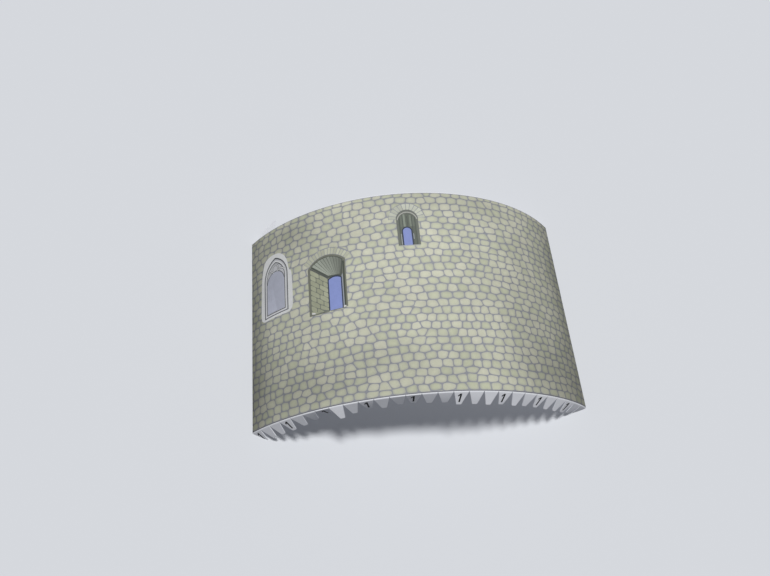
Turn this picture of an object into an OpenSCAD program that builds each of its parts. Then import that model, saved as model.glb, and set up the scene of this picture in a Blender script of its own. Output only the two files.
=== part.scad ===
// Round wall of a card model rotunda, at about 1:100.
// One printed sheet is rolled to an arc and stands upright, printed side
// towards -Y. Glue tabs along its lower and upper edges are folded in
// towards the rotunda's axis. Sizes are in millimetres.

/* [Wall] */
// Outside radius of the rolled wall
wall_r = 57; // [40:0.5:90]
// Angle that the wall takes up around the rotunda's axis
wall_angle = 108; // [72:1:126]
// Height of the wall between its two fold lines
wall_h = 59; // [30:0.5:110]
// Thickness of the card
card = 0.25; // [0.2:0.05:0.4]

/* [Glue tabs] */
// Length of a tab from its fold to its tip
tab_len = 4; // [2.5:0.1:6]
// Width of a tab at its tip
tab_tip = 1.4; // [0.8:0.1:2]
// Width left between two tabs at the fold
notch_gap = 0.12; // [0.1:0.02:0.3]
// Least bend of a lower tab: the tabs bent this little carry the wall
rest_bend = 55; // [45:1:70]
// Bend of the upper tabs that a roof is glued to
roof_bend = 90; // [80:1:90]

/* [Hidden] */
// Strips that the rolled sheet is divided into, and tabs on each strip
segments = 9;
tabs_per_segment = 3;
tabs = segments * tabs_per_segment;

segment_angle = wall_angle / segments;
tab_angle = wall_angle / tabs;
inner_r = wall_r - card;

// Width of a tab where it meets the wall, so that its neighbours just clear it
tab_base = 2 * inner_r * sin(tab_angle / 2) - notch_gap;

// Further bend of each lower tab past rest_bend, from the wall's left end
extra_bend = [
    3, 0, 3, 5, 12, 22, 40,
    0, 15, 20, 18, 24, 25, 17,
    12, 3, 0, 0, 0, 0, 0,
    0, 0, 0, 3, 8, 13
];

// Upper tabs at the wall's left end that were left standing, and their bends
raised_bend = [60, 42, 58];

// The wall's lower fold is this far above the floor, on the carrying tabs
fold_z = tab_len * cos(rest_bend) + card * sin(rest_bend);
top_z = fold_z + wall_h;

// Distance from the rotunda's axis to the middle of the wall's depth
end_tab = (wall_angle - tab_angle) / 2;
near_axis = (inner_r - tab_len) * cos(end_tab) - tab_tip / 2 * sin(end_tab);
mid_depth = (wall_r + near_axis) / 2;

card_face = [0.72, 0.69, 0.55];
card_back = [0.93, 0.93, 0.95];

// Lets an arc's step stay a whole share of one segment
$fn = 360;

// Angle of the middle of tab i from the middle of the wall
function tab_place(i) = (i + 0.5) * tab_angle - wall_angle / 2;

// Bend of upper tab i
function upper_bend(i) = i < len(raised_bend) ? raised_bend[i] : roof_bend;

// Moves a piece from the rotunda's axis to the part's own origin
module on_axis(a) {
    translate([0, mid_depth, 0])
        rotate([0, 0, a])
            children();
}

// One strip of the rolled sheet, number i from the left
module wall_segment(i) {
    start = i * segment_angle - wall_angle / 2;
    color(card_face)
        on_axis(start - 90)
            rotate_extrude(angle = segment_angle)
                translate([inner_r, fold_z])
                    square([card, wall_h]);
}

// A flat tab, hinged on the wall's inner face and bent in by the given angle
module tab(bend) {
    translate([0, -inner_r, 0])
        rotate([90 + bend, 0, 0])
            linear_extrude(height = card)
                polygon([
                    [-tab_base / 2, 0],
                    [-tab_tip / 2, -tab_len],
                    [tab_tip / 2, -tab_len],
                    [tab_base / 2, 0]
                ]);
}

module lower_tab(i) {
    color(card_back)
        on_axis(tab_place(i))
            translate([0, 0, fold_z])
                tab(rest_bend + extra_bend[i]);
}

// The tabs along the top of strip i, with bends of their own
module upper_tabs(i) {
    color(card_back)
        for (k = [0 : tabs_per_segment - 1]) {
            j = i * tabs_per_segment + k;
            on_axis(tab_place(j))
                translate([0, 0, top_z])
                    mirror([0, 0, 1])
                        tab(upper_bend(j));
        }
}

// Node names count from 1, and the tab numbers have two figures
wall_segment(0);  // wall_segment_1
wall_segment(1);  // wall_segment_2
wall_segment(2);  // wall_segment_3
wall_segment(3);  // wall_segment_4
wall_segment(4);  // wall_segment_5
wall_segment(5);  // wall_segment_6
wall_segment(6);  // wall_segment_7
wall_segment(7);  // wall_segment_8
wall_segment(8);  // wall_segment_9
lower_tab(0);  // lower_tab_01
lower_tab(1);  // lower_tab_02
lower_tab(2);  // lower_tab_03
lower_tab(3);  // lower_tab_04
lower_tab(4);  // lower_tab_05
lower_tab(5);  // lower_tab_06
lower_tab(6);  // lower_tab_07
lower_tab(7);  // lower_tab_08
lower_tab(8);  // lower_tab_09
lower_tab(9);  // lower_tab_10
lower_tab(10);  // lower_tab_11
lower_tab(11);  // lower_tab_12
lower_tab(12);  // lower_tab_13
lower_tab(13);  // lower_tab_14
lower_tab(14);  // lower_tab_15
lower_tab(15);  // lower_tab_16
lower_tab(16);  // lower_tab_17
lower_tab(17);  // lower_tab_18
lower_tab(18);  // lower_tab_19
lower_tab(19);  // lower_tab_20
lower_tab(20);  // lower_tab_21
lower_tab(21);  // lower_tab_22
lower_tab(22);  // lower_tab_23
lower_tab(23);  // lower_tab_24
lower_tab(24);  // lower_tab_25
lower_tab(25);  // lower_tab_26
lower_tab(26);  // lower_tab_27
upper_tabs(0);  // upper_tabs_1
upper_tabs(1);  // upper_tabs_2
upper_tabs(2);  // upper_tabs_3
upper_tabs(3);  // upper_tabs_4
upper_tabs(4);  // upper_tabs_5
upper_tabs(5);  // upper_tabs_6
upper_tabs(6);  // upper_tabs_7
upper_tabs(7);  // upper_tabs_8
upper_tabs(8);  // upper_tabs_9
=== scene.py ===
# %% [markdown]
# # The round wall of a card rotunda
# The real object is one printed sheet of card. It is rolled to an arc, and the
# teeth along its two edges are glue tabs, folded in. The CAD frame gives its
# place and its size. This lesson builds the sheet, draws its stonework as
# printed shapes, folds the tabs, and then lights it.

# %% Load the frame
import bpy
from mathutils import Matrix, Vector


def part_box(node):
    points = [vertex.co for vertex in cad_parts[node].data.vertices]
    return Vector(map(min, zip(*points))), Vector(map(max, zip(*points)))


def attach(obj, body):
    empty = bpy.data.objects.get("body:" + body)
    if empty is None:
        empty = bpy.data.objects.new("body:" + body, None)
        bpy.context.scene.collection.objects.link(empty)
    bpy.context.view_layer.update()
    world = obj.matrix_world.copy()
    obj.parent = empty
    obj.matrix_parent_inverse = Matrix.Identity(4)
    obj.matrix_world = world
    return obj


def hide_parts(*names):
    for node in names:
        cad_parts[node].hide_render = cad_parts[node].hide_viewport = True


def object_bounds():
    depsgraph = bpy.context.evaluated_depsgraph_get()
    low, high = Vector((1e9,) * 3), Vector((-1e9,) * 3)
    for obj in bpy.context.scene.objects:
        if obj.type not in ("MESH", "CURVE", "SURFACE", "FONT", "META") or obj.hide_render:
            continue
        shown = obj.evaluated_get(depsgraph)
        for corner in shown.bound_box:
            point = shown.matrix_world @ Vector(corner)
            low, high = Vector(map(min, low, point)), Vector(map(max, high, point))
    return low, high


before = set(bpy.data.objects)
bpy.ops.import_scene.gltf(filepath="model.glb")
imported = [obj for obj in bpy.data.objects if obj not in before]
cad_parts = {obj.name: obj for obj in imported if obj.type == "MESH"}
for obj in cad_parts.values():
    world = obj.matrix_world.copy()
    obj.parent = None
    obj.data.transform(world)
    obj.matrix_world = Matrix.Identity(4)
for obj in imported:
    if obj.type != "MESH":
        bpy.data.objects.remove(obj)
cad_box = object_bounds()
print("CAD box", [[round(v, 4) for v in corner] for corner in cad_box])

# %% Libraries
import math
import random

import bmesh
import bpy
from mathutils import Matrix, Vector

# %% [markdown]
# Every size comes from the frame. The wall is a piece of a cylinder, so its
# radius follows from its width and from the angle that it takes up. Lengths
# along the print are easier to think of in millimetres, so MM turns them into
# metres at the last moment.

# %% Sizes of the wall
MM = 0.001
SEGMENTS = [name for name in sorted(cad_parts) if name.startswith("wall_segment")]
LOWER_TABS = [name for name in sorted(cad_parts) if name.startswith("lower_tab")]
UPPER_TABS = [name for name in sorted(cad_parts) if name.startswith("upper_tabs")]
HALF_TURN = math.radians(54)
CARD = 0.25
segment_low, segment_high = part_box(SEGMENTS[4])
RADIUS = cad_box[1][0] / math.sin(HALF_TURN) / MM
FOLD_Z = segment_low.z / MM
WALL_H = (segment_high.z - segment_low.z) / MM
AXIS_Y = segment_low.y / MM + RADIUS
HALF_ARC = RADIUS * HALF_TURN
print("radius", round(RADIUS, 2), "height", round(WALL_H, 2), "half arc", round(HALF_ARC, 2))

# %% [markdown]
# The camera looks at the printed side from a little below the wall's foot,
# with the sheet's lower edge nearest, as when the sheet lies on its straight
# edges on a table and is seen from above.

# %% Camera
LENS_MM = 32.59
EYE = Vector((-21.33, -175.57, -50.16)) * MM
LOOK_TURN = math.radians(4.52)
LOOK_RISE = math.radians(26.65)
LOOK_ROLL = math.radians(5.65)
camera_data = bpy.data.cameras.new("camera")
camera_data.lens = LENS_MM
camera_data.clip_start = 0.01
camera = bpy.data.objects.new("camera", camera_data)
aim = Matrix.Rotation(-LOOK_TURN, 4, "Z") @ Matrix.Rotation(math.pi / 2 + LOOK_RISE, 4, "X")
camera.matrix_world = Matrix.Translation(EYE) @ aim @ Matrix.Rotation(-LOOK_ROLL, 4, "Z")
bpy.context.scene.collection.objects.link(camera)
bpy.context.scene.camera = camera
print("camera at", [round(v, 3) for v in camera.matrix_world.translation])

# %% [markdown]
# ## From flat print to rolled wall
# A print is drawn flat. A point has a place s along the arc, counted from its
# middle, and a height h above the lower fold. Rolling the sheet is then one
# function, and every printed shape goes through it. The third number is how
# far the point stands proud of the card: ink is only a film, but two films in
# one place would flicker, so each sits a few hundredths of a millimetre up.

# %% Rolling the sheet
def rolled(s, h, proud=0.0):
    """The point of the wall at s along the arc, h up, in metres."""
    turn = s / RADIUS
    reach = RADIUS + proud
    return Vector((reach * math.sin(turn), AXIS_Y - reach * math.cos(turn), FOLD_Z + h)) * MM


def new_piece(name, bm, materials, smooth=True):
    """Turns a bmesh into an object that rides on the part's only body."""
    mesh = bpy.data.meshes.new(name)
    bm.to_mesh(mesh)
    bm.free()
    for material in materials:
        mesh.materials.append(material)
    for polygon in mesh.polygons:
        polygon.use_smooth = smooth
    piece = bpy.data.objects.new(name, mesh)
    bpy.context.scene.collection.objects.link(piece)
    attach(piece, "root")
    return piece


print("left edge of the sheet", [round(v, 4) for v in rolled(-HALF_ARC, 0)])

# %% [markdown]
# ## Finishes
# Card and ink share one thing: the fibres of the sheet. They show as a faint
# unevenness in colour, gloss and height. One node group makes that, and each
# material sets how strong it is. A second group is the watercolour wash, the
# soft cloudiness inside each printed colour; its Shade input also darkens the
# colour by the mottling and painted shade of the print.

# %% Helpers for node groups
def new_group(name, inputs, outputs):
    """An empty shader group with its sockets, and its two end nodes."""
    group = bpy.data.node_groups.new(name, "ShaderNodeTree")
    for label, kind, value in inputs:
        socket = group.interface.new_socket(name=label, in_out="INPUT", socket_type=kind)
        if value is not None:
            socket.default_value = value
    for label, kind in outputs:
        group.interface.new_socket(name=label, in_out="OUTPUT", socket_type=kind)
    return group, group.nodes.new("NodeGroupInput"), group.nodes.new("NodeGroupOutput")


def math_node(tree, operation, first, second):
    """A Math node whose inputs are sockets or plain numbers."""
    node = tree.nodes.new("ShaderNodeMath")
    node.operation = operation
    for socket, value in zip(node.inputs, (first, second)):
        if hasattr(value, "links"):
            tree.links.new(value, socket)
        else:
            socket.default_value = value
    return node.outputs[0]


def noise_node(tree, scale, detail, roughness=0.5):
    """Noise in the object's own metres, so scale is in turns per metre."""
    place = tree.nodes.new("ShaderNodeTexCoord")
    noise = tree.nodes.new("ShaderNodeTexNoise")
    noise.inputs["Scale"].default_value = scale
    noise.inputs["Detail"].default_value = detail
    noise.inputs["Roughness"].default_value = roughness
    tree.links.new(place.outputs["Object"], noise.inputs["Vector"])
    return noise.outputs["Fac"]


def scaled_colour(tree, colour, factor):
    """A colour made lighter or darker by a factor that varies."""
    node = tree.nodes.new("ShaderNodeVectorMath")
    node.operation = "SCALE"
    tree.links.new(colour, node.inputs[0])
    tree.links.new(factor, node.inputs["Scale"])
    return node.outputs[0]


# %% Card fibres, as a group
FLOAT, COLOUR = "NodeSocketFloat", "NodeSocketColor"
fibres, fibres_in, fibres_out = new_group(
    "card_fibres",
    [("Colour", COLOUR, None), ("Strength", FLOAT, 0.05), ("Roughness", FLOAT, 0.8)],
    [("Colour", COLOUR), ("Roughness", FLOAT), ("Height", FLOAT)],
)
fine = noise_node(fibres, 2600, 4, 0.65)
coarse = noise_node(fibres, 520, 3)
mixed = math_node(fibres, "ADD", math_node(fibres, "MULTIPLY", fine, 0.6),
                  math_node(fibres, "MULTIPLY", coarse, 0.4))
centred = math_node(fibres, "SUBTRACT", mixed, 0.5)
shade = math_node(fibres, "MULTIPLY", centred, fibres_in.outputs["Strength"])
fibres.links.new(
    scaled_colour(fibres, fibres_in.outputs["Colour"],
                  math_node(fibres, "ADD", math_node(fibres, "MULTIPLY", shade, 2.0), 1.0)),
    fibres_out.inputs["Colour"])
fibres.links.new(
    math_node(fibres, "ADD", fibres_in.outputs["Roughness"], shade),
    fibres_out.inputs["Roughness"])
fibres.links.new(mixed, fibres_out.inputs["Height"])
print("group", fibres.name, "has", len(fibres.nodes), "nodes")

# %% Watercolour wash, as a group
# The Shade input multiplies in the print's mottling and painted shade.
wash, wash_in, wash_out = new_group(
    "watercolour_wash",
    [("Colour", COLOUR, None), ("Cloud", FLOAT, 0.1), ("Shade", FLOAT, 1.0)],
    [("Colour", COLOUR)],
)
clouds = math_node(wash, "SUBTRACT", noise_node(wash, 650, 5, 0.6), 0.5)
drifts = math_node(wash, "SUBTRACT", noise_node(wash, 95, 2), 0.5)
both = math_node(wash, "ADD", clouds, math_node(wash, "MULTIPLY", drifts, 0.9))
strength = math_node(wash, "MULTIPLY", both, wash_in.outputs["Cloud"])
tint = math_node(wash, "MULTIPLY", math_node(wash, "ADD", strength, 1.0), wash_in.outputs["Shade"])
wash.links.new(scaled_colour(wash, wash_in.outputs["Colour"], tint), wash_out.inputs["Colour"])
print("group", wash.name, "has", len(wash.nodes), "nodes")

# %% [markdown]
# A material puts the groups in a row: a colour, the wash, the fibres, and
# then the Principled shader. Printed shapes carry their own colour as a mesh
# attribute named ink, so one material prints every colour.

# %% Building a material
def place_group(tree, group, **values):
    """Adds a group to a material and sets its inputs."""
    node = tree.nodes.new("ShaderNodeGroup")
    node.node_tree = group
    for label, value in values.items():
        if hasattr(value, "links"):
            tree.links.new(value, node.inputs[label])
        else:
            node.inputs[label].default_value = value
    return node


def attribute(tree, name, output):
    """Reads a mesh attribute."""
    node = tree.nodes.new("ShaderNodeAttribute")
    node.attribute_name = name
    return node.outputs[output]


def finish_card(material, colour, strength, roughness, bump):
    """Fibres, bump and shader, for a colour that is already made."""
    tree = material.node_tree
    shader = tree.nodes["Principled BSDF"]
    shader.inputs["Specular IOR Level"].default_value = 0.3
    grain = place_group(tree, fibres, Colour=colour, Strength=strength, Roughness=roughness)
    tree.links.new(grain.outputs["Colour"], shader.inputs["Base Color"])
    tree.links.new(grain.outputs["Roughness"], shader.inputs["Roughness"])
    relief = tree.nodes.new("ShaderNodeBump")
    relief.inputs["Strength"].default_value = bump
    relief.inputs["Distance"].default_value = 0.02 * MM
    tree.links.new(grain.outputs["Height"], relief.inputs["Height"])
    tree.links.new(relief.outputs["Normal"], shader.inputs["Normal"])
    print("material", material.name)
    return material


def new_material(name):
    """A material with nodes."""
    material = bpy.data.materials.new(name)
    material.use_nodes = True
    return material


# %% Plain card and printed ink
plain_card = new_material("plain_card")
card_white = plain_card.node_tree.nodes.new("ShaderNodeRGB")
card_white.outputs[0].default_value = (0.84, 0.85, 0.885, 1)
whitened = place_group(plain_card.node_tree, wash, Colour=card_white.outputs[0], Cloud=0.06, Shade=1.0)
finish_card(plain_card, whitened.outputs["Colour"], 0.06, 0.85, 0.35)

printed_ink = new_material("printed_ink")
inked = place_group(
    printed_ink.node_tree, wash, Colour=attribute(printed_ink.node_tree, "ink", "Color"),
    Cloud=0.22, Shade=attribute(printed_ink.node_tree, "shade", "Fac"))
finish_card(printed_ink, inked.outputs["Colour"], 0.08, 0.72, 0.25)

# %% [markdown]
# A printed stone is palest and yellowest at its heart and greyer at its rim,
# as if it were painted wet. Each stone's mesh carries two numbers: heart, 0 at
# the rim and 1 in the middle, and tone, one random number for the whole stone.

# %% Printed stone
STONE_RIM = (0.405, 0.415, 0.365, 1)
STONE_HEART = (0.555, 0.575, 0.41, 1)
STONE_WARM = (0.53, 0.515, 0.43, 1)
printed_stone = new_material("printed_stone")
stone_tree = printed_stone.node_tree


def mixed_colour(tree, factor, first, second):
    """A mix of two colours."""
    node = tree.nodes.new("ShaderNodeMix")
    node.data_type = "RGBA"
    tree.links.new(factor, node.inputs["Factor"])
    for label, value in (("A", first), ("B", second)):
        socket = [s for s in node.inputs if s.name == label and s.type == "RGBA"][0]
        if hasattr(value, "links"):
            tree.links.new(value, socket)
        else:
            socket.default_value = value
    return [s for s in node.outputs if s.type == "RGBA"][0]


heart = attribute(stone_tree, "heart", "Fac")
tone = attribute(stone_tree, "tone", "Fac")
body = mixed_colour(stone_tree, heart, STONE_RIM, STONE_HEART)
body = mixed_colour(stone_tree, math_node(stone_tree, "MULTIPLY", tone, 0.6), body, STONE_WARM)
# The shade attribute brings in the print's mottling and painted shade.
stone_shade = math_node(
    stone_tree, "MULTIPLY", attribute(stone_tree, "shade", "Fac"),
    math_node(stone_tree, "ADD", math_node(stone_tree, "MULTIPLY", tone, 0.16), 0.92))
painted = place_group(stone_tree, wash, Colour=body, Cloud=0.3, Shade=stone_shade)
finish_card(printed_stone, painted.outputs["Colour"], 0.08, 0.75, 0.25)

# %% [markdown]
# ## Mottling and painted shade on the print
# A few wide soft spots darken the stonework. They mix the print's own mottling
# with painted shade: the strong bands at the far left and right edges and the
# dark spots low down stand for the wall turning away from the light, and the
# two spots with a negative depth near the middle are painted highlight. Each is
# given by where it is, how wide it is and how much it darkens. Every printed
# vertex asks for its shade.

# %% Shade of the print
# Edge bands and low spots are painted shade; negative depths are painted highlight.
MOTTLE_AND_SHADE_PATCHES = [
    (-37, 54, 7, 5, 0.24), (-32, 48, 14, 10, 0.09), (-44, 8, 12, 10, 0.16),
    (-31, 5, 12, 7, 0.24), (-34, 22, 9, 9, 0.08), (-12, 8, 15, 9, 0.15),
    (6, 5, 9, 5, 0.12), (33, 27, 9, 20, 0.17), (38, 5, 14, 12, 0.31),
    (56, 28, 13, 60, 0.56), (-55, 28, 9, 60, 0.57), (12, 57, 20, 5, 0.15),
    (-12, 40, 10, 10, -0.05), (6, 44, 12, 10, -0.06),
]


def mottle_and_painted_shade(s, h):
    """How light the print is at a place, with its mottling and painted shade: 1 is the full colour."""
    dark = sum(
        depth * math.exp(-((s - at_s) / wide) ** 2 - ((h - at_h) / tall) ** 2)
        for at_s, at_h, wide, tall, depth in MOTTLE_AND_SHADE_PATCHES)
    return 1.0 - dark


print("shade in the middle", round(mottle_and_painted_shade(0, 30), 3))

# %% [markdown]
# ## The sheet
# The card itself is a grid on the outer face, the same grid on the inner face,
# and a rim between them, so it is a closed body. The lowest row stays white:
# it is the strip along the fold. Above it the ground of the print is the
# colour of the joints between the stones.

# %% The rolled sheet
STEP = 0.9
FOLD_STRIP = 0.08
TOP_STRIP = 0.12
JOINT_INK = (0.28, 0.288, 0.312)


def set_vertex_numbers(piece, name, values):
    """Stores one number for each vertex."""
    layer = piece.data.attributes.new(name, "FLOAT", "POINT")
    layer.data.foreach_set("value", values)


def set_vertex_inks(piece, colours):
    """Stores one colour for each vertex."""
    layer = piece.data.attributes.new("ink", "FLOAT_COLOR", "POINT")
    layer.data.foreach_set("color", [v for colour in colours for v in (*colour, 1.0)])


columns = int(2 * HALF_ARC / STEP)
heights = [0, FOLD_STRIP] + [FOLD_STRIP + (WALL_H - FOLD_STRIP - TOP_STRIP) * k / 24 for k in range(1, 25)]
heights.append(WALL_H)
bm = bmesh.new()
faces_of = {}
sheet_shades = []
for side, proud in (("outer", 0.0), ("inner", -CARD)):
    faces_of[side] = []
    for h in heights:
        row = []
        for k in range(columns + 1):
            s = -HALF_ARC + 2 * HALF_ARC * k / columns
            row.append(bm.verts.new(rolled(s, h, proud)))
            sheet_shades.append(mottle_and_painted_shade(s, h))
        faces_of[side].append(row)
for r in range(len(heights) - 1):
    for k in range(columns):
        low, high = faces_of["outer"][r], faces_of["outer"][r + 1]
        face = bm.faces.new((low[k], low[k + 1], high[k + 1], high[k]))
        face.material_index = 1 if 0 < r < len(heights) - 2 else 0
        low, high = faces_of["inner"][r], faces_of["inner"][r + 1]
        bm.faces.new((low[k], high[k], high[k + 1], low[k + 1]))
for r in (0, len(heights) - 1):
    for k in range(columns):
        a, b = faces_of["outer"][r], faces_of["inner"][r]
        corners = (a[k], b[k], b[k + 1], a[k + 1])
        bm.faces.new(corners if r == 0 else tuple(reversed(corners)))
for k in (0, columns):
    for r in range(len(heights) - 1):
        a, b = faces_of["outer"], faces_of["inner"]
        corners = (a[r][k], a[r + 1][k], b[r + 1][k], b[r][k])
        bm.faces.new(corners if k == 0 else tuple(reversed(corners)))
for edge in bm.edges:
    if len(edge.link_faces) == 2:
        edge.smooth = edge.calc_face_angle() < math.radians(30)
sheet = new_piece("rolled_sheet", bm, [plain_card, printed_ink])
set_vertex_inks(sheet, [JOINT_INK] * len(sheet.data.vertices))
# The shade attribute carries the print's mottling and painted shade.
set_vertex_numbers(sheet, "shade", sheet_shades)
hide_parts(*SEGMENTS)
print("sheet", len(sheet.data.polygons), "faces")

# %% [markdown]
# ## Stonework
# Rubble in rough courses looks like a honeycomb that was laid by hand. Points
# are set out like bricks, every other row by half a stone, and then each is
# pushed about a little. A stone is all that is nearer to its own point than to
# any other. It is found by cutting a block down, once for each neighbour, and
# moving every cut in by half a joint leaves the joints open. Heights count for
# more than widths when nearness is measured, and that keeps the beds level.

# %% Cutting one stone out of the plane
COURSE = 2.13
STONE_W = 2.95
JOINT = 0.225
FLATNESS = 1.75


def cut(outline, normal_s, normal_h, limit):
    """Keeps the part of a convex outline where the normal's distance is under limit."""
    kept = []
    for k, here in enumerate(outline):
        there = outline[(k + 1) % len(outline)]
        d_here = here[0] * normal_s + here[1] * normal_h - limit
        d_there = there[0] * normal_s + there[1] * normal_h - limit
        if d_here <= 0:
            kept.append(here)
        if d_here * d_there < 0:
            part = d_here / (d_here - d_there)
            kept.append((here[0] + part * (there[0] - here[0]), here[1] + part * (there[1] - here[1])))
    return kept


def stone_outline(point, neighbours, joint):
    """The outline of the stone round a point, with its joints left open."""
    s, h = point
    wide, tall = 2.6, 1.75
    outline = [(s - wide, h - tall), (s + wide, h - tall), (s + wide, h + tall), (s - wide, h + tall)]
    for other_s, other_h in neighbours:
        across, up = other_s - s, (other_h - h) * FLATNESS ** 2
        length = math.hypot(across, up)
        n_s, n_h = across / length, up / length
        middle = (s + other_s) / 2 * n_s + (h + other_h) / 2 * n_h
        outline = cut(outline, n_s, n_h, middle - joint / 2)
    return outline


def rounded(outline, passes=2, share=0.21):
    """Cuts the corners of a closed outline, again and again."""
    for _ in range(passes):
        cornered = []
        for k, here in enumerate(outline):
            there = outline[(k + 1) % len(outline)]
            for part in (share, 1 - share):
                cornered.append((here[0] + part * (there[0] - here[0]), here[1] + part * (there[1] - here[1])))
        outline = cornered
    return outline


# %% Setting out the courses
dice = random.Random(7)
rows = int(WALL_H / COURSE) + 3
across = int(2 * HALF_ARC / STONE_W) + 8
points = {}
for row in range(rows):
    squeeze = dice.uniform(0.9, 1.1)
    offset = dice.uniform(-0.4, 0.4) + (row % 2) * STONE_W / 2
    lift = dice.uniform(-0.12, 0.12)
    for k in range(across):
        s = (k - across / 2) * STONE_W * squeeze + offset + dice.gauss(0, 0.34)
        wave = 0.22 * math.sin(s / 6.5 + 0.35 * row) + 0.12 * math.sin(s / 2.7 + 1.3 * row)
        h = (row - 0.5) * COURSE + lift + wave + dice.gauss(0, 0.13)
        points[row, k] = (s, h)
by_row = {row: [points[row, k] for k in range(across)] for row in range(rows)}
print("stones set out", len(points))

# %% Drawing the stones
def add_stone(bm, numbers, outline, proud, tone):
    """One printed stone: a rim, a ring inside it and a middle."""
    count = len(outline)
    if count < 5:
        return
    mid_s = sum(p[0] for p in outline) / count
    mid_h = sum(p[1] for p in outline) / count
    rings = []
    for share, heart_value in ((1.0, 0.0), (0.62, 0.75)):
        ring = []
        for s, h in outline:
            at = (mid_s + (s - mid_s) * share, mid_h + (h - mid_h) * share)
            ring.append(bm.verts.new(rolled(*at, proud)))
            numbers.append((heart_value, tone, mottle_and_painted_shade(*at)))
        rings.append(ring)
    middle = bm.verts.new(rolled(mid_s, mid_h, proud))
    numbers.append((1.0, tone, mottle_and_painted_shade(mid_s, mid_h)))
    for k in range(count):
        n = (k + 1) % count
        bm.faces.new((rings[0][k], rings[0][n], rings[1][n], rings[1][k]))
        bm.faces.new((rings[1][k], rings[1][n], middle))


bm = bmesh.new()
stone_numbers = []
edge_s = HALF_ARC - 0.04
for (row, k), point in points.items():
    if abs(point[0]) > HALF_ARC + 1.5:
        continue
    near = [p for r in range(row - 2, row + 3) for p in by_row.get(r, ())
            if p != point and abs(p[0] - point[0]) < 6]
    outline = stone_outline(point, near, JOINT * dice.uniform(0.8, 1.3))
    for n_s, n_h, limit in ((0, -1, -FOLD_STRIP - 0.3), (0, 1, WALL_H - TOP_STRIP - 0.1),
                            (1, 0, edge_s), (-1, 0, edge_s)):
        if outline:
            outline = cut(outline, n_s, n_h, limit)
    if len(outline) < 3:
        continue
    tone_value = dice.random()
    add_stone(bm, stone_numbers, rounded(outline), 0.015, tone_value)
stones = new_piece("printed_stonework", bm, [printed_stone])
for place, name in enumerate(("heart", "tone", "shade")):
    set_vertex_numbers(stones, name, [numbers[place] for numbers in stone_numbers])
print("stonework", len(stones.data.polygons), "faces")

# %% [markdown]
# ## Drawing with ink
# The windows are drawn with two tools. A patch is a filled outline, and a
# stroke is a line with a width. Both are made flat, cut into narrow upright
# slices so that they can follow the curve, and rolled with the sheet.

# %% Patches and strokes
class Drawing:
    """Collects flat inked shapes, and then rolls them into one piece."""

    def __init__(self):
        self.bm = bmesh.new()
        self.ink = self.bm.verts.layers.float_color.new("ink")

    def patch(self, outline, colour, proud):
        """A filled outline, listed anticlockwise."""
        part = bmesh.new()
        part.faces.new([part.verts.new((s, h, 0)) for s, h in outline])
        bmesh.ops.triangulate(part, faces=part.faces[:])
        low = min(s for s, h in outline)
        high = max(s for s, h in outline)
        cuts = max(1, int((high - low) / 0.8))
        for k in range(1, cuts):
            at = Vector((low + (high - low) * k / cuts, 0, 0))
            geometry = part.verts[:] + part.edges[:] + part.faces[:]
            bmesh.ops.bisect_plane(part, geom=geometry, plane_co=at, plane_no=(1, 0, 0))
        self.add(part, colour, proud)

    def stroke(self, line, width, colour, proud, closed=False):
        """A line of even width along a list of points."""
        line = list(line)
        sides = []
        for k, (s, h) in enumerate(line):
            before = line[k - 1] if k or closed else line[k]
            after = line[(k + 1) % len(line)] if k + 1 < len(line) or closed else line[k]
            d_s, d_h = after[0] - before[0], after[1] - before[1]
            length = math.hypot(d_s, d_h) or 1.0
            n_s, n_h = -d_h / length * width / 2, d_s / length * width / 2
            sides.append(((s + n_s, h + n_h), (s - n_s, h - n_h)))
        part = bmesh.new()
        verts = [[part.verts.new((*p, 0)) for p in pair] for pair in sides]
        for k in range(len(verts) if closed else len(verts) - 1):
            n = (k + 1) % len(verts)
            part.faces.new((verts[k][0], verts[k][1], verts[n][1], verts[n][0]))
        self.add(part, colour, proud)

    def add(self, part, colour, proud):
        """Rolls a flat part and adds it to the drawing."""
        copies = {}
        for vert in part.verts:
            copy = self.bm.verts.new(rolled(vert.co.x, vert.co.y, proud))
            copy[self.ink] = (*colour, 1.0)
            copies[vert] = copy
        for face in part.faces:
            turned = [copies[v] for v in face.verts]
            self.bm.faces.new(turned if face.normal.z >= 0 else turned[::-1])
        part.free()

    def finish(self, name):
        """The drawing as one piece."""
        self.bm.verts.ensure_lookup_table()
        for face in self.bm.faces:
            face.normal_update()
            middle = face.calc_center_median()
            outward = Vector((middle.x, middle.y - AXIS_Y * MM, 0))
            if face.normal.dot(outward) < 0:
                face.normal_flip()
        piece = new_piece(name, self.bm, [printed_ink])
        set_vertex_numbers(piece, "shade", [1.0] * len(piece.data.vertices))
        print(name, len(piece.data.polygons), "faces")
        return piece


def straight(start, end, step=0.5):
    """Points along a straight line, close enough to follow the curve."""
    count = max(1, int(math.dist(start, end) / step))
    return [(start[0] + (end[0] - start[0]) * k / count, start[1] + (end[1] - start[1]) * k / count)
            for k in range(count + 1)]


def arc(centre, radius, start, end, count=16):
    """Points along an arc, from one angle to another in degrees."""
    return [(centre[0] + radius * math.cos(math.radians(start + (end - start) * k / count)),
             centre[1] + radius * math.sin(math.radians(start + (end - start) * k / count)))
            for k in range(count + 1)]


# %% [markdown]
# Ring stones stand round each arch like a fan. They share one function: a
# band in the joint colour first, and on it a row of narrow pale wedges.

# %% Ring stones over an arch
RING_INK = (0.48, 0.49, 0.38)
PALE_RING_INK = (0.50, 0.515, 0.43)


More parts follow.
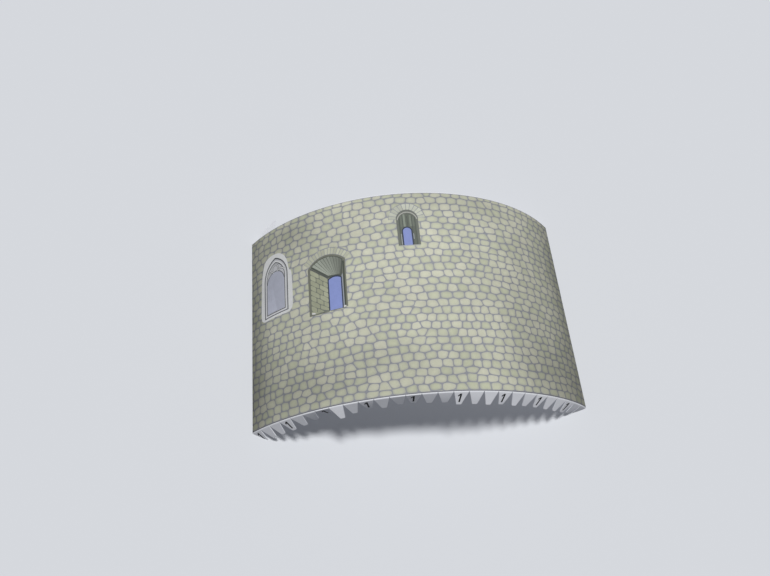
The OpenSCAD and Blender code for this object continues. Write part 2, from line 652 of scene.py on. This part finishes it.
def ring_of_stones(drawing, centre, inner, outer, start, end, count, proud, ink):
    """A fan of wedge stones between two radii, from start to end in degrees."""
    band = arc(centre, inner, start, end, 24) + arc(centre, outer + 0.15, end, start, 24)
    drawing.patch(band, JOINT_INK, proud)
    step = (end - start) / count
    for k in range(count):
        pinch = 0.07 * step
        a0, a1 = start + k * step + pinch, start + (k + 1) * step - pinch
        top = outer + dice.uniform(-0.25, 0.1)
        wedge = arc(centre, inner + 0.12, a0, a1, 2) + arc(centre, top, a1, a0, 2)
        light = dice.uniform(0.86, 1.1)
        drawing.patch(rounded(wedge, 1, 0.12), tuple(c * light for c in ink), proud + 0.004)


# %% [markdown]
# ## The small round-headed window
# It is a narrow slit in a deep dark reveal, high on the middle of the wall.

# %% Small window
NAVY = (0.035, 0.045, 0.075)
SKY_PANE = (0.235, 0.285, 0.56)
REVEAL = (0.125, 0.14, 0.115)
PALE_LINE = (0.42, 0.42, 0.38)


def round_headed(left, right, foot, crown, count=16):
    """An outline with a half-round head, anticlockwise from its left foot."""
    radius = (right - left) / 2
    middle = (left + right) / 2
    head = arc((middle, crown - radius), radius, 0, 180, count)
    return [(left, foot), (right, foot)] + head


drawing = Drawing()
ring_of_stones(drawing, (-0.5, 50.3), 3.0, 5.1, 2, 178, 12, 0.020, PALE_RING_INK)
drawing.patch(round_headed(-3.55, 2.55, 42.0, 53.4), (0.16, 0.17, 0.15), 0.030)
drawing.patch(round_headed(-2.95, 1.95, 42.0, 52.2), REVEAL, 0.034)
drawing.stroke(arc((-0.5, 49.8), 2.75, 8, 172, 20), 0.28, PALE_LINE, 0.038)
for at_s, light, high in ((-2.2, 1.25, 51.4), (-1.35, 1.9, 51.9), (0.35, 1.6, 51.6), (1.15, 1.2, 51.0)):
    body_ink = tuple(c * light for c in REVEAL)
    drawing.patch([(at_s - 0.3, 47.9), (at_s + 0.3, 47.9), (at_s + 0.27, high), (at_s - 0.27, high)],
                  body_ink, 0.038)
for at_s in (-2.65, -1.8, -0.5, 0.75, 1.6):
    drawing.stroke(straight((at_s, 42.1), (at_s, 51.2)), 0.13, (0.075, 0.085, 0.08), 0.040)
drawing.stroke(straight((-2.52, 42.2), (-2.52, 45.6)), 0.2, (0.36, 0.37, 0.38), 0.042)
drawing.stroke(straight((0.86, 43.8), (0.86, 45.6)), 0.2, (0.34, 0.36, 0.38), 0.042)
drawing.patch(round_headed(-2.3, 0.6, 42.0, 47.85), NAVY, 0.044)
drawing.patch(round_headed(-1.98, 0.3, 42.0, 47.5), SKY_PANE, 0.048)
drawing.stroke(straight((-3.4, 41.85), (2.4, 41.85)), 0.26, (0.45, 0.46, 0.44), 0.044)
drawing.finish("small_window_print")

# %% [markdown]
# ## The splayed window
# The reveal is drawn in perspective: the pane sits deep in the wall at the
# right, the left cheek shows its stones, and the arch above it shows the
# underside of its ring, with joints that run together at the pane's head.

# %% Splayed window
OLIVE = (0.17, 0.175, 0.14)
CHEEK_STONE = (0.35, 0.365, 0.26)
SOFFIT = (0.33, 0.355, 0.30)
ARCH_CENTRE = (-24.15, 35.85)
ARCH_R = 7.4
left_foot, right_foot = (-30.1, 26.0), (-18.65, 26.4)
arch_line = arc(ARCH_CENTRE, ARCH_R, 44, 138, 24)
pane_left, pane_right, pane_foot, pane_head = -23.75, -20.2, 26.2, 35.75

drawing = Drawing()
ring_of_stones(drawing, ARCH_CENTRE, 7.4, 9.5, 42, 138, 15, 0.020, RING_INK)
drawing.patch([left_foot, right_foot, (-18.65, 41.0)] + arch_line + [(-30.1, 40.4)], OLIVE, 0.028)
inner_arch = arc(ARCH_CENTRE, ARCH_R - 0.5, 46, 134, 24)
drawing.patch([(-24.0, 36.0), (-19.75, 35.7)] + inner_arch + [(-29.0, 40.45)], (0.085, 0.095, 0.08), 0.032)
wedges = 10
for k in range(wedges):
    a0 = 47 + 86 * (k + 0.07) / wedges
    a1 = 47 + 86 * (k + 0.93) / wedges
    outer_a = arc(ARCH_CENTRE, ARCH_R - 0.65 - dice.uniform(0, 0.12), a0, a1, 2)
    low_0 = -20.3 - 3.5 * (k + 0.07) / wedges
    low_1 = -20.3 - 3.5 * (k + 0.93) / wedges
    light = 0.45 + 0.60 * (k / (wedges - 1)) ** 0.8 + dice.uniform(-0.06, 0.06)
    lift = 0.35 + 0.25 * (k / wedges)
    wedge = [(low_0, 36.1 + lift)] + outer_a + [(low_1, 36.1 + lift)]
    drawing.patch(wedge, tuple(c * light for c in SOFFIT), 0.036)

# %% Splayed window: cheek, pane and sill
cheek = [(-29.45, 26.1), (-24.0, 26.1), (-24.0, 35.85), (-29.45, 40.2)]
drawing.patch(cheek, (0.165, 0.175, 0.15), 0.036)
beds = 9
for k in range(beds):
    rows_left = [26.1 + 14.1 * (k + d) / beds for d in (0.04, 0.96)]
    rows_right = [22.6 + 13.2 * (k + d) / beds for d in (0.04, 0.96)]
    breaks = [0.0, 0.34, 0.72, 1.0] if k % 2 else [0.0, 0.52, 1.0]
    for b in range(len(breaks) - 1):
        t0, t1 = breaks[b] + 0.018, breaks[b + 1] - 0.018
        corners = []
        for t, side in ((t0, 0), (t1, 0), (t1, 1), (t0, 1)):
            s = -29.45 + 5.45 * t
            h = rows_left[side] + (rows_right[side] - rows_left[side]) * t
            corners.append((s, max(h, 26.3)))
        if corners[2][1] - corners[1][1] < 0.25 and corners[3][1] - corners[0][1] < 0.25:
            continue
        light = dice.uniform(0.84, 1.08)
        drawing.patch(rounded(corners, 2, 0.16), tuple(c * light for c in CHEEK_STONE), 0.040)
drawing.stroke(straight((-29.3, 40.35), (-24.0, 35.95)), 0.15, (0.07, 0.08, 0.085), 0.044)
drawing.patch([(-20.0, 26.4), (-19.55, 26.4), (-19.6, 36.5), (-19.9, 35.9)], (0.30, 0.32, 0.36), 0.040)
drawing.stroke(straight((-19.35, 26.6), (-19.2, 40.2)), 0.45, (0.065, 0.075, 0.06), 0.042)
pane_frame = [(pane_left - 0.33, pane_foot), (pane_right + 0.33, pane_foot)] + [
    (pane_right + 0.33, pane_head - 0.35)] + arc((-21.97, 33.1), 3.15, 52, 128, 8) + [
    (pane_left - 0.33, pane_head - 0.35)]
drawing.patch(pane_frame, NAVY, 0.046)
pane = [(pane_left, pane_foot), (pane_right, pane_foot), (pane_right, pane_head - 0.65)] + arc(
    (-21.97, 32.8), 3.05, 56, 124, 8) + [(pane_left, pane_head - 0.65)]
drawing.patch(pane, SKY_PANE, 0.050)
drawing.stroke(straight((-29.7, 26.05), (-24.0, 25.95)), 0.16, OLIVE, 0.050)
drawing.stroke(straight((-23.7, 26.05), (-19.0, 26.15)), 0.14, OLIVE, 0.052)
drawing.patch([(-29.3, 26.45), (-28.0, 26.3), (-28.4, 26.75), (-29.3, 26.95)], (0.62, 0.62, 0.6), 0.046)
drawing.patch([(-19.9, 26.3), (-19.1, 26.3), (-19.2, 26.75), (-19.8, 26.75)], (0.6, 0.6, 0.58), 0.054)
drawing.finish("splayed_window_print")

# %% [markdown]
# ## The blind window
# A pointed blind window in pale plaster. Its moulding is three nested lines,
# and a cusp fills the point of the arch.

# %% Blind window
PLASTER = (0.64, 0.645, 0.64)
PLASTER_SHADE = (0.47, 0.475, 0.49)
BLIND_PANE = (0.40, 0.415, 0.485)
MOULD_LINE = (0.085, 0.09, 0.095)


def pointed(left, right, foot, spring, apex, count=10):
    """A pointed outline, anticlockwise from its left foot."""
    half = (right - left) / 2
    rise = apex - spring
    shift = (rise * rise - half * half) / (2 * half)
    radius = half + shift
    top = math.degrees(math.atan2(rise, shift))
    middle = (left + right) / 2
    right_side = arc((middle - shift, spring), radius, 0, top, count)
    left_side = arc((middle + shift, spring), radius, 180 - top, 180, count)
    return straight((left, foot), (right, foot), 1.0)[:-1] + [(right, foot)] + right_side + left_side


drawing = Drawing()
plaster = [(-48.6, 29.9), (-42, 30.1), (-35.6, 29.8), (-35.5, 36), (-35.7, 42.5), (-36.7, 43.0),
           (-37.2, 46.2), (-38.5, 48.6), (-40.4, 49.9), (-43.2, 50.3), (-46.2, 49.7), (-47.5, 47.2),
           (-48.2, 43.5), (-48.5, 36)]
drawing.patch(rounded(plaster, 2), PLASTER, 0.022)
drawing.patch(pointed(-46.9, -37.2, 30.7, 42.2, 48.9), MOULD_LINE, 0.026)
drawing.patch(pointed(-46.55, -37.5, 30.95, 42.2, 48.4), PLASTER_SHADE, 0.030)
drawing.patch(pointed(-46.25, -37.85, 31.2, 42.2, 47.9), PLASTER, 0.034)
drawing.patch(pointed(-45.9, -38.2, 31.45, 42.2, 47.45), MOULD_LINE, 0.038)
drawing.patch(pointed(-45.65, -38.45, 31.7, 42.2, 47.1), PLASTER_SHADE, 0.042)
drawing.patch(round_headed(-45.6, -38.5, 31.75, 44.4, 20), BLIND_PANE, 0.046)
for share in range(6):
    drawing.patch([(-45.4, 32 + 1.8 * share), (-41.6 - 0.35 * share, 32 + 1.8 * share),
                   (-41.95 - 0.35 * share, 33.8 + 1.8 * share), (-45.4, 33.8 + 1.8 * share)],
                  tuple(c * (1.14 - 0.022 * share) for c in BLIND_PANE), 0.0475)
drawing.stroke(arc((-42.05, 40.85), 3.55, 6, 174, 24), 0.22, MOULD_LINE, 0.050)
for centre, radius, start, end in (
        ((-44.15, 43.0), 1.75, 38, 150), ((-39.95, 43.0), 1.75, 30, 142), ((-42.05, 45.35), 1.15, -28, 208)):
    drawing.stroke(arc(centre, radius, start, end, 14), 0.42, PLASTER, 0.0505)
    drawing.stroke(arc(centre, radius + 0.2, start, end, 14), 0.15, MOULD_LINE, 0.052)
    drawing.stroke(arc(centre, radius - 0.2, start, end, 14), 0.15, MOULD_LINE, 0.052)
drawing.stroke(straight((-46.3, 31.1), (-37.9, 31.1)), 0.22, (0.6, 0.6, 0.63), 0.050)
drawing.finish("blind_window_print")

# %% [markdown]
# ## Lines along the edges
# The drawing stops at a thin dark line just above the lower fold.

# %% Edge lines
drawing = Drawing()
drawing.stroke(straight((-HALF_ARC + 0.05, 0.17), (HALF_ARC - 0.05, 0.17), 0.8), 0.14,
               (0.10, 0.10, 0.11), 0.020)
drawing.finish("fold_line_print")

# %% [markdown]
# ## Glue tabs
# A tab leaves the wall in line with it, turns through the crease and then runs
# straight to its tip. The function below walks along that path and returns
# how far the tab has come in and down. Across its width the tab starts with
# the wall's curve and soon lies flat. The CAD tabs tell how far each lower tab
# is bent: the box of a tab gives the height of its tip. The upper tabs' bends
# are listed below.

# %% A tab's shape
TAB_LEN = 4.05
TAB_TIP = 1.25
TABS = len(LOWER_TABS)
TAB_TURN = 2 * HALF_TURN / TABS
TAB_BASE = 2 * RADIUS * math.sin(TAB_TURN / 2) - 0.14
CREASE_R = 0.13
PATH_STEP = 0.05


def tab_path(bend, curl):
    """Radial and vertical travel and heading along the middle of a tab."""
    path = [(0.0, 0.0, 0.0)]
    inward, down, heading = 0.0, 0.0, 0.0
    for k in range(int(TAB_LEN / PATH_STEP)):
        if heading < bend:
            heading = min(bend, heading + PATH_STEP / CREASE_R)
        else:
            heading += curl * PATH_STEP / TAB_LEN
        inward += math.sin(heading) * PATH_STEP
        down += math.cos(heading) * PATH_STEP
        path.append((inward, down, heading))
    return path


def tab_surface(place, bend, curl, lean, upper):
    """A function from (across, along, side) to a point of the tab, in metres."""
    path = tab_path(bend, curl)
    out_way = Vector((math.sin(place), -math.cos(place)))
    side_way = Vector((math.cos(place), math.sin(place)))

    def point(across, along, side):
        share = along / TAB_LEN
        inward, down, heading = path[min(len(path) - 1, round(along / PATH_STEP))]
        curve = across * across / (2 * RADIUS) * max(0.0, 1 - along / 1.2)
        reach = RADIUS - CARD / 2 - inward - curve + side * CARD / 2 * math.cos(heading)
        drop = down + side * CARD / 2 * math.sin(heading)
        flat = out_way * reach + side_way * (across + lean * share)
        z = FOLD_Z + WALL_H + drop if upper else FOLD_Z - drop
        return Vector((flat.x, flat.y + AXIS_Y, z)) * MM

    return point


def tab_width(along):
    """Width of a tab at a distance from its fold."""
    return TAB_BASE + (TAB_TIP - TAB_BASE) * (along / TAB_LEN) ** 0.92


# %% Building one tab
def add_tab(bm, point, upper):
    """A closed slab between the tab's two faces."""
    rows_along = [0, 0.1, 0.2, 0.3, 0.45, 0.6, 0.8, 1.1, 1.6, 2.2, 2.8, 3.4, 3.85, TAB_LEN]
    shares = (-0.5, -0.25, 0.0, 0.25, 0.5)
    grids = []
    for side in (1, -1):
        grid = []
        for along in rows_along:
            width = tab_width(along)
            if along == TAB_LEN:
                width -= 0.2
            grid.append([bm.verts.new(point(width * share, along, side)) for share in shares])
        grids.append(grid)
    front, back = grids
    count, across = len(rows_along), len(shares)
    new_faces = []
    for r in range(count - 1):
        for k in range(across - 1):
            new_faces.append((front[r][k], front[r + 1][k], front[r + 1][k + 1], front[r][k + 1]))
            new_faces.append((back[r][k], back[r][k + 1], back[r + 1][k + 1], back[r + 1][k]))
        new_faces.append((front[r][0], back[r][0], back[r + 1][0], front[r + 1][0]))
        new_faces.append((front[r][-1], front[r + 1][-1], back[r + 1][-1], back[r][-1]))
    for k in range(across - 1):
        new_faces.append((front[0][k], front[0][k + 1], back[0][k + 1], back[0][k]))
        new_faces.append((front[-1][k], back[-1][k], back[-1][k + 1], front[-1][k + 1]))
    for corners in new_faces:
        bm.faces.new(corners[::-1] if upper else corners)


def sharpen(bm):
    """Marks the cut edges of the card as sharp, so that smooth shading stops there."""
    bmesh.ops.recalc_face_normals(bm, faces=bm.faces[:])
    for edge in bm.edges:
        if len(edge.link_faces) == 2:
            edge.smooth = edge.calc_face_angle() < math.radians(40)


# %% [markdown]
# Every third tab carries a number, which tells the maker where it is glued. It
# is a plain figure 1, drawn on the tab's outer face.

# %% The number on a tab
NUMBER_INK = (0.012, 0.012, 0.014)


def add_number(bm, point):
    """A figure 1 on the outer face, its head towards the fold."""
    lift = 1.0 + 2 * 0.02 / CARD
    stem = [(-0.20, 0.55), (0.26, 0.55), (0.14, 3.25), (-0.28, 3.25)]
    flag = [(-0.20, 0.55), (-0.13, 1.02), (-0.66, 1.5), (-0.74, 1.12)]
    for outline, rows_down in ((stem, 6), (flag, 1)):
        for k in range(rows_down):
            t0, t1 = k / rows_down, (k + 1) / rows_down
            corners = []
            for t, left in ((t0, True), (t0, False), (t1, False), (t1, True)):
                a, b = (outline[0], outline[3]) if left else (outline[1], outline[2])
                corners.append((a[0] + (b[0] - a[0]) * t, a[1] + (b[1] - a[1]) * t))
            bm.faces.new([bm.verts.new(point(across, along, lift)) for across, along in corners])


def bend_from_box(name):
    """Reads a lower tab's bend from how far its tip drops."""
    low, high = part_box(name)
    drop = FOLD_Z - low.z / MM
    length = 4.0
    best = min(range(40, 100), key=lambda d: abs(
        length * math.cos(math.radians(d)) + CARD * math.sin(math.radians(d)) - drop))
    return math.radians(best)


# %% Lower tabs
tab_dice = random.Random(31)
number_bm = bmesh.new()
for place, name in enumerate(LOWER_TABS):
    angle = (place + 0.5) * TAB_TURN - HALF_TURN
    surface = tab_surface(
        angle, bend_from_box(name), math.radians(tab_dice.uniform(-4, 10)),
        tab_dice.uniform(-0.25, 0.3), upper=False)
    bm = bmesh.new()
    add_tab(bm, surface, upper=False)
    sharpen(bm)
    piece = new_piece(name.replace("lower_tab", "folded_tab"), bm, [plain_card])
    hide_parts(name)
    if place % 3 == 0:
        add_number(number_bm, surface)
numbers_piece = new_piece("tab_numbers", number_bm, [printed_ink])
set_vertex_inks(numbers_piece, [NUMBER_INK] * len(numbers_piece.data.vertices))
set_vertex_numbers(numbers_piece, "shade", [1.0] * len(numbers_piece.data.vertices))
print("lower tabs", TABS)

# %% Upper tabs
RAISED = (60, 26, 18, 52)
FLAT = 88
for group, name in enumerate(UPPER_TABS):
    bm = bmesh.new()
    for k in range(3):
        place = group * 3 + k
        angle = (place + 0.5) * TAB_TURN - HALF_TURN
        bend = RAISED[place] if place < len(RAISED) else FLAT - tab_dice.uniform(0, 7)
        add_tab(bm, tab_surface(angle, math.radians(bend), 0.0, tab_dice.uniform(-0.2, 0.2), True), True)
    sharpen(bm)
    piece = new_piece(name.replace("upper_tabs", "folded_upper_tabs"), bm, [plain_card])
    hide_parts(name)
print("upper tab groups", len(UPPER_TABS))

# %% [markdown]
# ## Stage
# A pale floor carries the part. A pale card stands just behind it and touches
# its two straight edges, which catches the shadow under the arch. Both are
# seen from one side only, so neither ever hides the part, and neither keeps
# light from the other.

# %% Stage
FLOOR_COLOUR = (0.88, 0.89, 0.90, 1)
BACK_COLOUR = (0.66, 0.675, 0.70, 1)
SKY_SEEN = (0.70, 0.715, 0.74, 1)


def stage_plane(name, corners, colour):
    """A matt rectangle that is seen from its front only."""
    material = new_material(name)
    tree = material.node_tree
    shader = tree.nodes["Principled BSDF"]
    shader.inputs["Base Color"].default_value = colour
    shader.inputs["Roughness"].default_value = 0.95
    shader.inputs["Specular IOR Level"].default_value = 0.0
    see_through = tree.nodes.new("ShaderNodeBsdfTransparent")
    facing = tree.nodes.new("ShaderNodeNewGeometry")
    one_sided = tree.nodes.new("ShaderNodeMixShader")
    tree.links.new(facing.outputs["Backfacing"], one_sided.inputs[0])
    tree.links.new(shader.outputs[0], one_sided.inputs[1])
    tree.links.new(see_through.outputs[0], one_sided.inputs[2])
    tree.links.new(one_sided.outputs[0], tree.nodes["Material Output"].inputs["Surface"])
    mesh = bpy.data.meshes.new(name)
    mesh.from_pydata(corners, [], [(0, 1, 2, 3)])
    mesh.materials.append(material)
    plane = bpy.data.objects.new(name, mesh)
    bpy.context.scene.collection.objects.link(plane)
    plane.visible_shadow = False
    plane.visible_diffuse = False


STAGE_REACH = 3.0
BACK_Y = rolled(HALF_ARC, 0, -CARD).y
BACK_HALF = 0.30
stage_plane("floor", [(-STAGE_REACH, -STAGE_REACH, 0), (STAGE_REACH, -STAGE_REACH, 0),
                      (STAGE_REACH, STAGE_REACH, 0), (-STAGE_REACH, STAGE_REACH, 0)], FLOOR_COLOUR)
stage_plane("back_card", [(-BACK_HALF, BACK_Y, -BACK_HALF), (BACK_HALF, BACK_Y, -BACK_HALF),
                          (BACK_HALF, BACK_Y, BACK_HALF), (-BACK_HALF, BACK_Y, BACK_HALF)], BACK_COLOUR)
print("back card at y", round(BACK_Y, 4))

# %% [markdown]
# ## Light
# A distant lamp low in front, nearly level, makes the shadow under the arch and
# some shade towards the sides; the darker sides are deepened further by painted
# shade in the print. A weaker lamp from behind and above lights the inside, and
# the world fills the rest evenly.

# %% Lamps and world
def sun_lamp(name, towards, spread, strength):
    """A distant lamp in a direction, with a soft edge to its shadows."""
    data = bpy.data.lights.new(name, "SUN")
    data.angle = math.radians(spread)
    data.energy = strength
    lamp = bpy.data.objects.new(name, data)
    bpy.context.scene.collection.objects.link(lamp)
    lamp.matrix_world = Vector(towards).to_track_quat("Z", "Y").to_matrix().to_4x4()
    return lamp


sun_lamp("key", (0.035, -1.0, 0.085), 11, 2.7)
sun_lamp("rear", (-0.35, 0.60, 0.72), 25, 0.9)

world = bpy.data.worlds.new("world")
bpy.context.scene.world = world
world.use_nodes = True
world_tree = world.node_tree
fill = world_tree.nodes["Background"]
fill.inputs["Color"].default_value = (0.86, 0.90, 1.0, 1)
fill.inputs["Strength"].default_value = 0.18
seen = world_tree.nodes.new("ShaderNodeBackground")
seen.inputs["Color"].default_value = SKY_SEEN
rays = world_tree.nodes.new("ShaderNodeLightPath")
choose = world_tree.nodes.new("ShaderNodeMixShader")
world_tree.links.new(rays.outputs["Is Camera Ray"], choose.inputs[0])
world_tree.links.new(fill.outputs[0], choose.inputs[1])
world_tree.links.new(seen.outputs[0], choose.inputs[2])
world_tree.links.new(choose.outputs[0], world_tree.nodes["World Output"].inputs["Surface"])
bpy.context.scene.view_settings.view_transform = "Standard"
